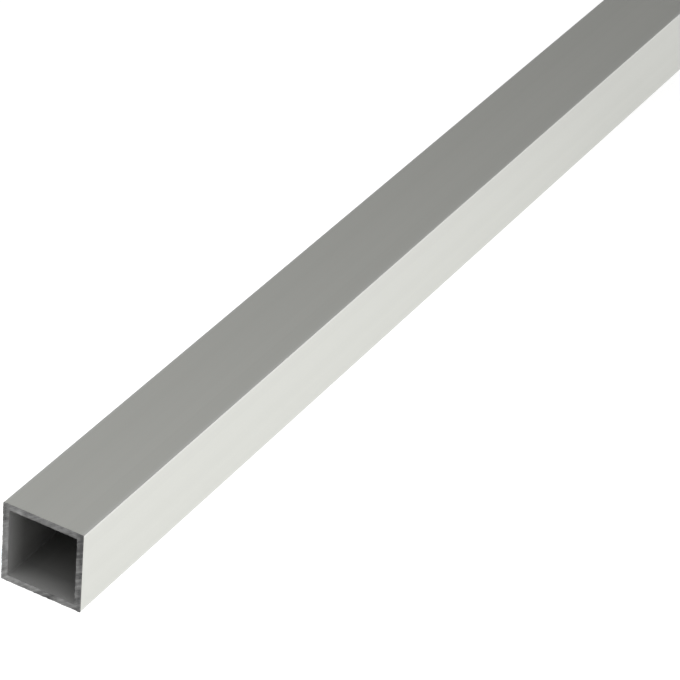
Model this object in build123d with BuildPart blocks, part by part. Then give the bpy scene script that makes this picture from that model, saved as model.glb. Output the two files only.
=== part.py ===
# A one-metre length of square aluminium tube, 20 x 20 mm outside with a 1.5 mm wall.
#
# The tube lies flat along X. The origin is the middle of its underside and +Z is up.
# It is one extrusion: the hollow section is the same all the way along, and both
# ends are sawn off square and left open.

import os

from build123d import *

# Driving dimensions, in millimetres
length = 1000.0  # a stock length
side = 20.0  # outside width and height
wall = 1.5  # the same on all four sides
outer_corner_radius = 0.2  # the die leaves the four long outside edges nearly sharp
inner_corner_radius = 0.3  # and the four long inside edges a little rounder

# Worked out from the section
bore = side - 2 * wall
section_plane = Plane.YZ.offset(-length / 2)  # the plane of one sawn end, facing +X


# The tube, drawn as its hollow section and extruded from one sawn end to the other.
with BuildPart() as square_tube:
    with BuildSketch(section_plane) as hollow_section:
        with Locations((0, side / 2)):
            RectangleRounded(side, side, outer_corner_radius)
            RectangleRounded(bore, bore, inner_corner_radius, mode=Mode.SUBTRACT)
    extrude(amount=length)

square_tube.part.label = "square_tube"

os.makedirs("parts", exist_ok=True)
export_step(square_tube.part, "parts/square_tube.step")
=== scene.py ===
import math
import bpy
from mathutils import Matrix, Vector


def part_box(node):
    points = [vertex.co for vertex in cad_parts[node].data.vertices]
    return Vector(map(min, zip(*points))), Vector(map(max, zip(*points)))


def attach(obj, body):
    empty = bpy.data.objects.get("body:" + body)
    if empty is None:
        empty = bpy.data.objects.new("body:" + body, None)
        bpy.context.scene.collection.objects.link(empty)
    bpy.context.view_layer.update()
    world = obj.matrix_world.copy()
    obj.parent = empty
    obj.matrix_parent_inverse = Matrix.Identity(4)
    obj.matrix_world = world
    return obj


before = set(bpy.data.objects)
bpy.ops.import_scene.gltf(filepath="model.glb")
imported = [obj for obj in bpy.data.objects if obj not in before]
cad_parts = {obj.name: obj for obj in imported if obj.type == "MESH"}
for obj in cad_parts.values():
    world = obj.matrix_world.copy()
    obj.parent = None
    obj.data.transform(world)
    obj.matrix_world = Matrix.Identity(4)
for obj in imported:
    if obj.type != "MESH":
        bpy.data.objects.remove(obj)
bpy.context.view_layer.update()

scene = bpy.context.scene
scene.view_settings.view_transform = "Standard"
mm = 0.001  # every length is in metres

tubeLow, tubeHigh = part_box("square_tube")
tubeMiddle = (tubeLow + tubeHigh) / 2
tubeSide = tubeHigh.z - tubeLow.z
tubeLength = tubeHigh.x - tubeLow.x
print("frame loaded: tube", round(tubeLength / mm), "x", round(tubeSide / mm), "mm")


def grey(shade):
    return (shade, shade, shade, 1.0)


class Wire:
    # an output socket, with arithmetic that adds the Math nodes it needs
    def __init__(self, tree, socket):
        self.tree = tree
        self.socket = socket

    def also(self, name):
        # another output of the same node
        return Wire(self.tree, self.socket.node.outputs[name])

    def maths(self, operation, *values):
        node = self.tree.nodes.new("ShaderNodeMath")
        node.operation = operation
        for socket, value in zip(node.inputs, values):
            if isinstance(value, Wire):
                self.tree.links.new(value.socket, socket)
            else:
                socket.default_value = value
        return Wire(self.tree, node.outputs[0])

    def __add__(self, other):
        return self.maths("ADD", self, other)

    def __radd__(self, other):
        return self.maths("ADD", other, self)

    def __sub__(self, other):
        return self.maths("SUBTRACT", self, other)

    def __rsub__(self, other):
        return self.maths("SUBTRACT", other, self)

    def __mul__(self, other):
        return self.maths("MULTIPLY", self, other)

    def __rmul__(self, other):
        return self.maths("MULTIPLY", other, self)

    def __truediv__(self, other):
        return self.maths("DIVIDE", self, other)

    def __rtruediv__(self, other):
        return self.maths("DIVIDE", other, self)

    def __pow__(self, other):
        return self.maths("POWER", self, other)

    def __gt__(self, other):
        return self.maths("GREATER_THAN", self, other)

    def __lt__(self, other):
        return self.maths("LESS_THAN", self, other)

    def __abs__(self):
        return self.maths("ABSOLUTE", self)

    def atLeast(self, other):
        return self.maths("MAXIMUM", self, other)

    def atMost(self, other):
        return self.maths("MINIMUM", self, other)

    def held(self):
        # kept between 0 and 1
        return self.atLeast(0.0).atMost(1.0)

    def sine(self):
        return self.maths("SINE", self)


class Nodes:
    # a node tree, and the one way to add any other node to it
    def __init__(self, tree):
        self.tree = tree
        tree.nodes.clear()

    def add(self, kind, settings=None, sockets=None):
        node = self.tree.nodes.new(kind)
        for name, value in (settings or {}).items():
            if name == "stops":
                ramp = node.color_ramp
                while len(ramp.elements) < len(value):
                    ramp.elements.new(1.0)
                for element, (place, shade) in zip(ramp.elements, value):
                    element.position = place
                    element.color = grey(shade)
            else:
                setattr(node, name, value)
        live = {s.name: s for s in reversed(node.inputs) if s.enabled}
        for name, value in (sockets or {}).items():
            socket = node.inputs[name] if isinstance(name, int) else live[name]
            if isinstance(value, Wire):
                self.tree.links.new(value.socket, socket)
            else:
                socket.default_value = value
        outputs = [s for s in node.outputs if s.enabled]
        return Wire(self.tree, outputs[0]) if outputs else None

    def vector(self, operation, first, second):
        return self.add("ShaderNodeVectorMath", {"operation": operation}, {0: first, 1: second})

    def scaled(self, vector, amount):
        return self.add("ShaderNodeVectorMath", {"operation": "SCALE"}, {
            "Vector": vector, "Scale": amount})

    def blend(self, factor, first, second):
        # from the first colour at 0 to the second at 1
        return self.add("ShaderNodeMix", {"data_type": "RGBA"}, {
            "Factor": factor, "A": first, "B": second})

    def grain(self, place, size, detail=2.0, roughness=0.5, seed=0.0):
        # cloudy noise about its own middle, with lumps of this size
        noise = self.add("ShaderNodeTexNoise", {"noise_dimensions": "4D"}, {
            "Vector": place, "W": seed, "Scale": 1.0 / size, "Detail": detail, "Roughness": roughness})
        return noise - 0.5

    def lines(self, place, size, detail=2.0, roughness=0.5):
        # the same along one number only
        noise = self.add("ShaderNodeTexNoise", {"noise_dimensions": "1D"}, {
            "W": place, "Scale": 1.0 / size, "Detail": detail, "Roughness": roughness})
        return noise - 0.5


def newMaterial(name):
    material = bpy.data.materials.new(name)
    material.use_nodes = True
    return material, Nodes(material.node_tree)


section = {
    "wall": 1.5 * mm,
    "outerRadius": 0.2 * mm,
    "innerRadius": 0.3 * mm,
}

# the tube: satin anodised outside, duller inside the bore; the bore's darker colour is partly its own
# duller finish and partly painted shade
anodisedFilm = {
    "colour": (0.591, 0.595, 0.562, 1.0),
    "lineColour": (0.545, 0.55, 0.518, 1.0),
    "roughness": 0.35,
    "roughnessSwing": 0.1,
    "dieLinePitch": 0.35 * mm,
    "dieLineStretch": 900.0,
    "dieLineWeight": 0.9,
    "dieLineDepth": 0.02 * mm,
    "dieLineBump": 0.25,
    "bandWidth": 3.0 * mm,
    "bandWeight": 1.2,
    "boreColourAndShade": (0.255, 0.255, 0.25, 1.0),
    "boreLineColourAndShade": (0.214, 0.214, 0.21, 1.0),
    "mouthLitColour": (0.427, 0.427, 0.421, 1.0),  # painted light: paler for a little way in from each end, where light comes in at the open ends
    "mouthLitReach": 6.0 * mm,
    "boreRoughness": 0.55,
    "boreMetallic": 0.35,
    # a painted highlight along the long outer edges
    "edgeHighlightColour": (0.65, 0.655, 0.632, 1.0),
    "edgeHighlightWidth": 0.9 * mm,
}


def makeTubeFinish():
    film = anodisedFilm
    material, n = newMaterial("anodisedAluminium")
    place = n.add("ShaderNodeTexCoord").also("Object")
    centred = n.vector("SUBTRACT", place, tubeMiddle)
    x = n.add("ShaderNodeSeparateXYZ", sockets={"Vector": centred})
    y, z = x.also("Y"), x.also("Z")
    outside = abs(y).atLeast(abs(z)) > (tubeSide - section["wall"]) / 2
    fromEdge = tubeSide / 2 - abs(y).atMost(abs(z))
    # painted highlight: the film is paler near the long outer edges
    edge = (1.0 - fromEdge / film["edgeHighlightWidth"]).held() * outside
    # painted light: the bore is paler for a little way in from each open end
    paintedMouthLight = (1.0 - (tubeLength / 2 - abs(x)) / film["mouthLitReach"]).held()

    stretch = (1.0 / film["dieLineStretch"], 1.0, 1.0)
    drawn = n.vector("MULTIPLY", place, stretch)
    dieLines = n.grain(drawn, film["dieLinePitch"], detail=3.0, roughness=0.6)
    bands = n.grain(drawn, film["bandWidth"])

    tone = (0.5 + film["bandWeight"] * bands + film["dieLineWeight"] * dieLines).held()
    outerFilm = n.blend(tone, film["lineColour"], film["colour"])
    # painted shade in part: the bore's film is darker than the outside
    boreFilmAndShade = n.blend(tone, film["boreLineColourAndShade"], film["boreColourAndShade"])
    boreFilmAndShade = n.blend(paintedMouthLight, boreFilmAndShade, film["mouthLitColour"])
    colour = n.blend(edge, n.blend(outside, boreFilmAndShade, outerFilm), film["edgeHighlightColour"])
    roughness = film["boreRoughness"] + (film["roughness"] - film["boreRoughness"]) * outside
    roughness = roughness + film["roughnessSwing"] * dieLines
    metallic = film["boreMetallic"] + (1.0 - film["boreMetallic"]) * outside
    normal = n.add("ShaderNodeBump", sockets={
        "Strength": film["dieLineBump"], "Distance": film["dieLineDepth"], "Height": dieLines})
    shader = n.add("ShaderNodeBsdfPrincipled", sockets={
        "Base Color": colour, "Metallic": metallic, "Roughness": roughness, "Normal": normal})
    n.add("ShaderNodeOutputMaterial", sockets={"Surface": shader})
    return material


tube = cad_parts["square_tube"]
tube.material_slots[0].material = makeTubeFinish()
print("tube finished")


# the sawn ends: a thin relief on each end, with the blade's arcs and a ragged burr
sawnFace = {
    "stepsRound": 1000,
    "stepsAcross": 18,
    "stepsBack": 3,  # round behind the wall, to close the shape
    "proud": 0.03 * mm,
    "sunk": 0.2 * mm,
    "bladeRadius": 150.0 * mm,
    "bladeAngle": math.radians(-55.0),
    "linePitch": 0.42 * mm,
    "lineShift": 37.0,  # in pitches for each step of the seed
    "lineDepth": 0.05 * mm,
    "grainSize": 0.22 * mm,
    "grainDepth": 0.02 * mm,
    "burrWidth": 0.18 * mm,
    "burrHeight": 0.14 * mm,
    "burrSpread": 0.06 * mm,
    "burrSize": 0.8 * mm,
    "burrContrast": 4.0,
    "burrCover": 0.35,
    "cornerSteps": 8,
    "mergeWithin": 0.001 * mm,
    "smoothBelow": math.radians(50.0),
    "ends": {"near_sawn_face": (-1.0, 3), "far_sawn_face": (1.0, 8)},  # the way it faces, and its seed
}

# the cut metal's colours are kept dim: partly its own dull grey, partly painted shade for an end that
# faces away from the lamps
sawnMetal = {
    "dark": (0.073, 0.073, 0.073, 1.0),
    "light": (0.3, 0.3, 0.296, 1.0),
    "middle": 0.48,
    "roughness": 0.5,
    "roughnessSwing": 0.2,
    "stainSize": 7.0 * mm,
    "stainSeed": 87.39,
    "stainWeight": 1.5,
    "patchSize": 3.4 * mm,
    "patchSeed": 9.46,
    "patchWeight": 1.6,
    "streakSize": 1.6,
    "streakWeight": 0.8,
    "speckSize": 0.25 * mm,
    "speckWeight": 0.5,
    # a painted shade band across the wall
    "shadeBandAt": 0.33,
    "shadeBandWidth": 0.3,
    "shadeBandWeight": 0.16,
}


def makeSawnMetal():
    metal = sawnMetal
    material, n = newMaterial("sawnAluminium")
    place = n.add("ShaderNodeTexCoord").also("Object")
    line = n.add("ShaderNodeAttribute", {"attribute_name": "sawLine"}).also("Fac")
    across = n.add("ShaderNodeAttribute", {"attribute_name": "acrossWall"}).also("Fac")
    # painted shade: a darker band about a third of the way in from the outer edge of the wall
    paintedShadeBand = (1.0 - abs(across - metal["shadeBandAt"]) / metal["shadeBandWidth"]).held()
    stains = n.grain(place, metal["stainSize"], seed=metal["stainSeed"])
    patches = n.grain(place, metal["patchSize"], seed=metal["patchSeed"])
    streaks = n.lines(line, metal["streakSize"], detail=3.0, roughness=0.6)
    specks = n.grain(place, metal["speckSize"])
    clouds = metal["stainWeight"] * stains + metal["patchWeight"] * patches
    scores = metal["streakWeight"] * streaks + metal["speckWeight"] * specks
    tone = (metal["middle"] + clouds + scores - metal["shadeBandWeight"] * paintedShadeBand).held()
    colour = n.blend(tone, metal["dark"], metal["light"])
    roughness = metal["roughness"] - metal["roughnessSwing"] * scores
    shader = n.add("ShaderNodeBsdfPrincipled", sockets={
        "Base Color": colour, "Metallic": 1.0, "Roughness": roughness})
    n.add("ShaderNodeOutputMaterial", sockets={"Surface": shader})
    return material


def sawnFaceTree():
    tree = bpy.data.node_groups.new("sawnFace", "GeometryNodeTree")
    n = Nodes(tree)
    for name, kind in {
        "Side": "Float", "Half Length": "Float", "Facing": "Float", "Wall": "Float",
        "Outer Radius": "Float", "Inner Radius": "Float", "Steps Round": "Int",
        "Steps Across": "Int", "Proud": "Float", "Sunk": "Float", "Blade Radius": "Float",
        "Blade Angle": "Float", "Line Pitch": "Float", "Line Depth": "Float",
        "Grain Size": "Float", "Grain Depth": "Float", "Burr Width": "Float",
        "Burr Height": "Float", "Burr Spread": "Float", "Burr Size": "Float",
        "Seed": "Float", "Material": "Material",
    }.items():
        tree.interface.new_socket(name, in_out="INPUT", socket_type="NodeSocket" + kind)
    tree.interface.new_socket("Geometry", in_out="OUTPUT", socket_type="NodeSocketGeometry")
    given = n.add("NodeGroupInput")
    side, wall = given.also("Side"), given.also("Wall")

    def outline(width, radius):
        square = n.add("GeometryNodeCurvePrimitiveQuadrilateral", sockets={
            "Width": width, "Height": width})
        return n.add("GeometryNodeFilletCurve", {"mode": "POLY"}, {
            "Curve": square, "Count": sawnFace["cornerSteps"], "Radius": radius, "Limit Radius": True})

    def pointOn(curve, way):
        node = n.add("GeometryNodeSampleCurve", {"mode": "FACTOR", "use_all_curves": True}, {
            "Curves": curve, "Factor": way})
        return node.also("Position")

    # a flat grid: its columns go round the tube, its rows go across the wall and back behind it
    steps, back = given.also("Steps Across"), sawnFace["stepsBack"]
    grid = n.add("GeometryNodeMeshGrid", sockets={
        "Size X": 1.0, "Size Y": 1.0,
        "Vertices X": given.also("Steps Round") + 1, "Vertices Y": steps + (back + 1)})
    x = n.add("ShaderNodeSeparateXYZ", sockets={"Vector": n.add("GeometryNodeInputPosition")})
    way = x + 0.5
    row = (x.also("Y") + 0.5) * (steps + back)
    across = (row / steps).atMost((steps + back - row) / back)
    behind = (row > steps + 0.5) * (row < steps + (back - 0.5))
    front = 1.0 - behind

    outer = pointOn(outline(side, given.also("Outer Radius")), way)
    inner = pointOn(outline(side - 2 * wall, given.also("Inner Radius")), way)
    inwards = n.vector("SUBTRACT", inner, outer)
    flat = n.vector("ADD", outer, n.scaled(inwards, across))
    seeded = n.vector("ADD", flat, n.add("ShaderNodeCombineXYZ", sockets={
        "Z": given.also("Seed")}))

    # the blade's arcs are circles about a far point
    angle, reach = given.also("Blade Angle"), given.also("Blade Radius")
    hub = n.add("ShaderNodeCombineXYZ", sockets={
        "X": reach * (angle + math.pi / 2).sine(), "Y": reach * angle.sine()})
    fromHub = n.vector("DISTANCE", flat, hub).also("Value")
    line = fromHub / given.also("Line Pitch") + sawnFace["lineShift"] * given.also("Seed")
    grooves = n.lines(line, 1.0, detail=3.0, roughness=0.65)
    grains = n.grain(seeded, given.also("Grain Size"))
    relief = given.also("Line Depth") * grooves + given.also("Grain Depth") * grains

    # the burr stands along both edges, in patches
    edge = given.also("Burr Width") / wall
    byOuter = (1.0 - across / edge).held()
    byInner = (1.0 - (1.0 - across) / edge).held()
    patches = n.grain(seeded, given.also("Burr Size"), detail=4.0, roughness=0.6)
    ragged = (sawnFace["burrContrast"] * patches + sawnFace["burrCover"]).held()
    lift = given.also("Burr Height") * ragged * (byOuter ** 2 + byInner ** 2)
    spread = given.also("Burr Spread") / wall * ragged * (byInner - byOuter)
    out = front * (given.also("Proud") + relief + lift) - behind * given.also("Sunk")

    spot = n.vector("ADD", outer, n.scaled(inwards, across + spread * front))
    a = n.add("ShaderNodeSeparateXYZ", sockets={"Vector": spot})
    facing = given.also("Facing")
    place = n.add("ShaderNodeCombineXYZ", sockets={
        "X": facing * (given.also("Half Length") + out),
        "Y": facing * a,
        "Z": (a.also("Y") + side / 2).atLeast(0.0)})

    shape = n.add("GeometryNodeStoreNamedAttribute", {"data_type": "FLOAT", "domain": "POINT"}, {
        "Geometry": grid, "Name": "sawLine", "Value": line})
    shape = n.add("GeometryNodeStoreNamedAttribute", {"data_type": "FLOAT", "domain": "POINT"}, {
        "Geometry": shape, "Name": "acrossWall", "Value": across})
    shape = n.add("GeometryNodeSetPosition", sockets={"Geometry": shape, "Position": place})
    shape = n.add("GeometryNodeMergeByDistance", sockets={
        "Geometry": shape, "Distance": sawnFace["mergeWithin"]})
    bend = n.add("GeometryNodeInputMeshEdgeAngle")
    shape = n.add("GeometryNodeSetShadeSmooth", {"domain": "FACE"}, {
        "Geometry": shape, "Shade Smooth": True})
    shape = n.add("GeometryNodeSetShadeSmooth", {"domain": "EDGE"}, {
        "Geometry": shape, "Shade Smooth": bend < sawnFace["smoothBelow"]})
    shape = n.add("GeometryNodeRealizeInstances", sockets={"Geometry": shape})
    shape = n.add("GeometryNodeSetMaterial", sockets={
        "Geometry": shape, "Material": given.also("Material")})
    n.add("NodeGroupOutput", sockets={"Geometry": shape})
    return tree


def meshFromTree(name, tree, values):
    piece = bpy.data.objects.new(name, bpy.data.meshes.new(name))
    scene.collection.objects.link(piece)
    modifier = piece.modifiers.new("shape", "NODES")
    modifier.node_group = tree
    for item in tree.interface.items_tree:
        if item.in_out == "INPUT":
            modifier[item.identifier] = values[item.name]
    ready = piece.evaluated_get(bpy.context.evaluated_depsgraph_get())
    mesh = bpy.data.meshes.new_from_object(ready)
    piece.modifiers.remove(modifier)
    piece.data = mesh
    return piece


def makeSawnFaces():
    tree = sawnFaceTree()
    metal = makeSawnMetal()
    s = sawnFace
    for name, (facing, seed) in s["ends"].items():
        piece = meshFromTree(name, tree, {
            "Side": tubeSide, "Half Length": tubeLength / 2, "Facing": facing,
            "Wall": section["wall"], "Outer Radius": section["outerRadius"],
            "Inner Radius": section["innerRadius"], "Steps Round": s["stepsRound"],
            "Steps Across": s["stepsAcross"], "Proud": s["proud"], "Sunk": s["sunk"],
            "Blade Radius": s["bladeRadius"], "Blade Angle": s["bladeAngle"],
            "Line Pitch": s["linePitch"], "Line Depth": s["lineDepth"],
            "Grain Size": s["grainSize"], "Grain Depth": s["grainDepth"],
            "Burr Width": s["burrWidth"], "Burr Height": s["burrHeight"],
            "Burr Spread": s["burrSpread"], "Burr Size": s["burrSize"],
            "Seed": float(seed), "Material": metal,
        })
        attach(piece, "root")
        print(name, len(piece.data.polygons), "faces")


makeSawnFaces()


floorSetup = {
    "reach": 20.0,
    "drop": 0.02 * mm,
    "colour": 0.65,
    "glow": 0.638,
    "paintedPoolGlow": 0.187,  # a painted pool of light, a little brighter round the near end
    "paintedPoolMiddle": (-0.5, -0.03, 0.0),
    "paintedPoolReach": 0.27,
}


def makeFloor():
    mesh = bpy.data.meshes.new("floor")
    r = floorSetup["reach"]
    mesh.from_pydata([(-r, -r, 0), (r, -r, 0), (r, r, 0), (-r, r, 0)], [], [(0, 1, 2, 3)])
    floor = bpy.data.objects.new("floor", mesh)
    scene.collection.objects.link(floor)
    floor.location.z = -floorSetup["drop"]
    material, n = newMaterial("floorWhite")
    path = n.add("ShaderNodeLightPath")
    seen = path.atLeast(path.also("Is Glossy Ray")).atLeast(path.also("Is Transmission Ray"))
    matt = n.add("ShaderNodeBsdfDiffuse", sockets={"Color": grey(floorSetup["colour"])})
    place = n.add("ShaderNodeTexCoord").also("Object")
    # painted light: a pool on the floor, brighter round the near end
    away = n.vector("DISTANCE", place, floorSetup["paintedPoolMiddle"]).also("Value")
    paintedLightPool = (1.0 - (away / floorSetup["paintedPoolReach"]) ** 2).atLeast(0.0)
    glow = n.add("ShaderNodeEmission", sockets={
        "Strength": seen * (floorSetup["glow"] + floorSetup["paintedPoolGlow"] * paintedLightPool)})
    both = n.add("ShaderNodeAddShader", sockets={0: matt, 1: glow})
    n.add("ShaderNodeOutputMaterial", sockets={"Surface": both})
    material.cycles.emission_sampling = "NONE"
    mesh.materials.append(material)


# the shades are pairs: a height, from level at 0 to overhead at 1, and how light the room is there
room = {
    "nearShades": [(0.0, 1.0), (0.07, 1.0), (0.13, 0.18), (0.3, 0.18), (0.4, 0.5), (0.5, 0.5),
                   (0.6, 0.3), (0.75, 0.3), (0.9, 0.65), (1.0, 0.65)],
    "farShades": [(0.0, 1.0), (0.07, 1.0), (0.13, 0.09), (0.4, 0.09), (0.5, 0.26), (0.6, 0.71),
                  (0.7, 0.92), (0.85, 0.6), (1.0, 0.65)],
    "farSide": (0.89, 0.456, 0.0),  # the way that the far shades lie
    "farFrom": 0.3,
    "farTo": 0.7,
    "strength": 1.1,
}


def makeWorld():
    world = bpy.data.worlds.new("studio")
    world.use_nodes = True
    n = Nodes(world.node_tree)
    direction = n.add("ShaderNodeTexCoord")
    height = n.add("ShaderNodeSeparateXYZ", sockets={"Vector": direction}).also("Z")
    towards = n.vector("DOT_PRODUCT", direction, room["farSide"]).also("Value")
    far = ((towards - room["farFrom"]) / (room["farTo"] - room["farFrom"])).held()
    near = n.add("ShaderNodeValToRGB", {"stops": room["nearShades"]}, {"Fac": height})
    beyond = n.add("ShaderNodeValToRGB", {"stops": room["farShades"]}, {"Fac": height})
    glow = n.add("ShaderNodeBackground", sockets={
        "Color": n.blend(far, near, beyond), "Strength": room["strength"]})
    n.add("ShaderNodeOutputWorld", sockets={"Surface": glow})
    scene.world = world


# two soft lamps: one by the broad side, one behind the near end
lamps = {
    "sideLamp": {"place": (-0.6, -0.3, 0.4), "aim": (-0.5, 0.0, 0.01), "size": 0.5, "watts": 0.87},
    "backLamp": {"place": (-1.1, 0.5, 0.6), "aim": (-0.5, 0.0, 0.01), "size": 0.8, "watts": 1.77},
}


def makeLamps():
    for name, lamp in lamps.items():
        light = bpy.data.lights.new(name, "AREA")
        light.shape = "SQUARE"
        light.size = lamp["size"]
        light.energy = lamp["watts"]
        holder = bpy.data.objects.new(name, light)
        scene.collection.objects.link(holder)
        place, aim = Vector(lamp["place"]), Vector(lamp["aim"])
        holder.location = place
        holder.rotation_euler = (aim - place).to_track_quat("-Z", "Y").to_euler()
        holder.visible_camera = False


# the lens and the sensor are in millimetres
view = {
    "place": (-0.97553, -0.30818, 0.44198),
    "aim": (-0.39151, -0.00899, 0.01),
    "roll": math.radians(5.4),
    "lens": 180.2,
    "sensor": 36.0,
}


def makeCamera():
    data = bpy.data.cameras.new("camera")
    data.lens = view["lens"]
    data.sensor_width = view["sensor"]
    data.clip_start = 0.01
    camera = bpy.data.objects.new("camera", data)
    scene.collection.objects.link(camera)
    place, aim = Vector(view["place"]), Vector(view["aim"])
    level = (aim - place).to_track_quat("-Z", "Y").to_matrix().to_4x4()
    camera.matrix_world = Matrix.Translation(place) @ level @ Matrix.Rotation(view["roll"], 4, "Z")
    scene.camera = camera


makeFloor()
makeWorld()
makeLamps()
makeCamera()
print("floor, light and camera set")
